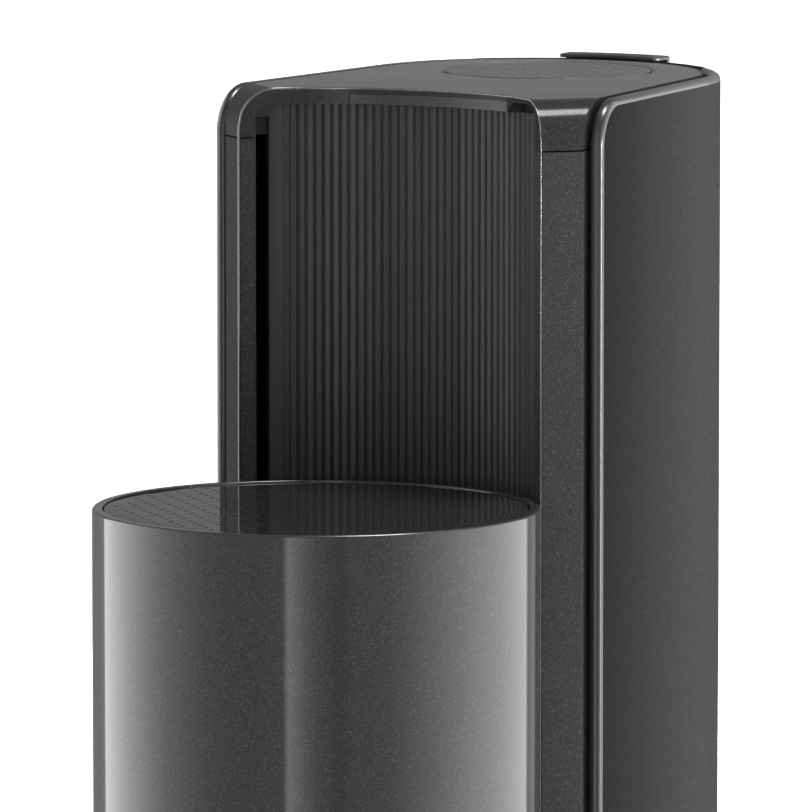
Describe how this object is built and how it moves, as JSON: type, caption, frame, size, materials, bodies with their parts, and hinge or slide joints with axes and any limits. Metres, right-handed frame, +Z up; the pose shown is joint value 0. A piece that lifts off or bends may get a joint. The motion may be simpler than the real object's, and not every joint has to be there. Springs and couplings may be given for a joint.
{
  "type": "soda carbonator",
  "caption": "Upright soda carbonator: round lift-up hood over a drip base, in front of a tapered tower with a ribbed scoop, a dimpled round top button and a hinged back cover.",
  "frame": {"origin": "centre of the footprint, on the worktop under the rubber feet", "axes": "+X to the right for someone facing the machine, +Y to the back, +Z up"},
  "size_m": [0.156, 0.3236, 0.4331],
  "materials": {
    "arm_steel": "dark steel",
    "base_plastic": "fine-grained dark grey",
    "block_metal": "machined aluminium",
    "bush_brass": "sintered bronze",
    "button_gloss": "gloss black with pressed dimples",
    "cap_satin": "satin charcoal lacquer with fine flake",
    "carriage_plastic": "glass-filled nylon",
    "foot_rubber": "matt black",
    "frame_steel": "zinc grey",
    "grille_steel": "brushed",
    "hood_lacquer": "gloss charcoal lacquer with fine metal flake",
    "hose_rubber": "black braided look",
    "inner_plastic": "moulded dark grey",
    "lid_gloss": "gloss black with pressed dimples",
    "lintel_satin": "satin dark grey",
    "magnet_metal": "nickel plated magnet",
    "nozzle_plastic": "white acetal",
    "nozzle_steel": "polished steel",
    "pillar_satin": "satin charcoal lacquer with fine flake",
    "pin_steel": "ground",
    "ribbed_plastic": "semi-gloss black, upright ribs",
    "rod_chrome": "polished",
    "screw_steel": "zinc plated",
    "seal_rubber": "dark grey silicone",
    "shell_lacquer": "satin charcoal lacquer",
    "spring_steel": "spring wire",
    "tank_aluminium": "painted aluminium bottle",
    "top_inlay": "satin charcoal lacquer with fine flake",
    "tray_plastic": "fine-grained dark grey",
    "trim_black": "matt black",
    "valve_brass": "turned brass"
  },
  "bodies": {
    "tower": {"base_plate": "base_plastic", "base_shell": "base_plastic", "button_bezel": "top_inlay", "button_spring": "spring_steel", "button_well": "inner_plastic", "chassis_frame": "frame_steel", "co2_cylinder": "tank_aluminium", "cylinder_collar": "inner_plastic", "cylinder_cradle": "inner_plastic", "cylinder_valve": "valve_brass", "drip_grille": "grille_steel", "drip_tray": "tray_plastic", "front_pillar_left": "pillar_satin", "front_pillar_right": "pillar_satin", "gas_hose": "hose_rubber", "grille_posts": "tray_plastic", "guide_rod_left": "rod_chrome", "guide_rod_right": "rod_chrome", "hinge_lugs": "base_plastic", "hinge_pins": "pin_steel", "hose_barb": "valve_brass", "inlet_seal": "seal_rubber", "lever_pin": "pin_steel", "lintel_bar": "lintel_satin", "magnet_plates": "frame_steel", "relief_valve": "valve_brass", "ribbed_wall": "ribbed_plastic", "rod_bracket_bottom": "frame_steel", "rod_bracket_top": "frame_steel", "rubber_feet": "foot_rubber", "side_shell_left": "shell_lacquer", "side_shell_right": "shell_lacquer", "slot_liner_left": "trim_black", "slot_liner_right": "trim_black", "top_cap": "cap_satin", "top_plate": "top_inlay", "valve_block": "block_metal", "valve_bracket": "frame_steel"},
    "hood": {"hood_shell": "hood_lacquer", "hood_lid": "lid_gloss", "hood_deck": "inner_plastic", "carbonating_head": "inner_plastic", "nozzle_tube": "nozzle_steel", "nozzle_tip": "nozzle_plastic", "bottle_seal": "seal_rubber", "head_screws": "screw_steel", "gas_line": "nozzle_steel", "line_elbow": "bush_brass", "carriage": "carriage_plastic", "guide_bushes": "bush_brass", "hood_arm_left": "arm_steel", "hood_arm_right": "arm_steel", "arm_screws": "screw_steel"},
    "button": {"carbonate_button": "button_gloss", "button_plunger": "inner_plastic"},
    "lever": {"actuator_lever": "frame_steel"},
    "pin": {"valve_pin": "pin_steel"},
    "back_cover": {"rear_cover": "shell_lacquer", "cover_tab": "trim_black", "cover_magnets": "magnet_metal"}
  },
  "joints": [
    {"name": "hood_lift", "type": "slide", "parent": "tower", "child": "hood", "axis": [0, 0, 1], "range_m": [0, 0.1375], "deforming": ["gas_hose"]},
    {"name": "button_press", "type": "slide", "parent": "tower", "child": "button", "axis": [0, 0, -1], "range_m": [0, 0.004], "stiffness_N_per_m": 2000, "springref_m": -0.002, "deforming": ["button_spring"]},
    {"name": "lever_tilt", "type": "hinge", "parent": "tower", "child": "lever", "pos_m": [0, 0.0725, 0.4055], "axis": [-1, 0, 0], "range_deg": [0, 7]},
    {"name": "pin_push", "type": "slide", "parent": "tower", "child": "pin", "axis": [0, 0, -1], "range_m": [0, 0.0034]},
    {"name": "back_cover_tilt", "type": "hinge", "parent": "tower", "child": "back_cover", "pos_m": [0, 0.1476, 0.0105], "axis": [-1, 0, 0], "range_deg": [0, 35]}
  ],
  "couplings": [
    {"joint": "lever_tilt", "follows": "button_press", "rad_per_m": 29.17},
    {"joint": "pin_push", "follows": "button_press", "ratio": 0.8}
  ]
}
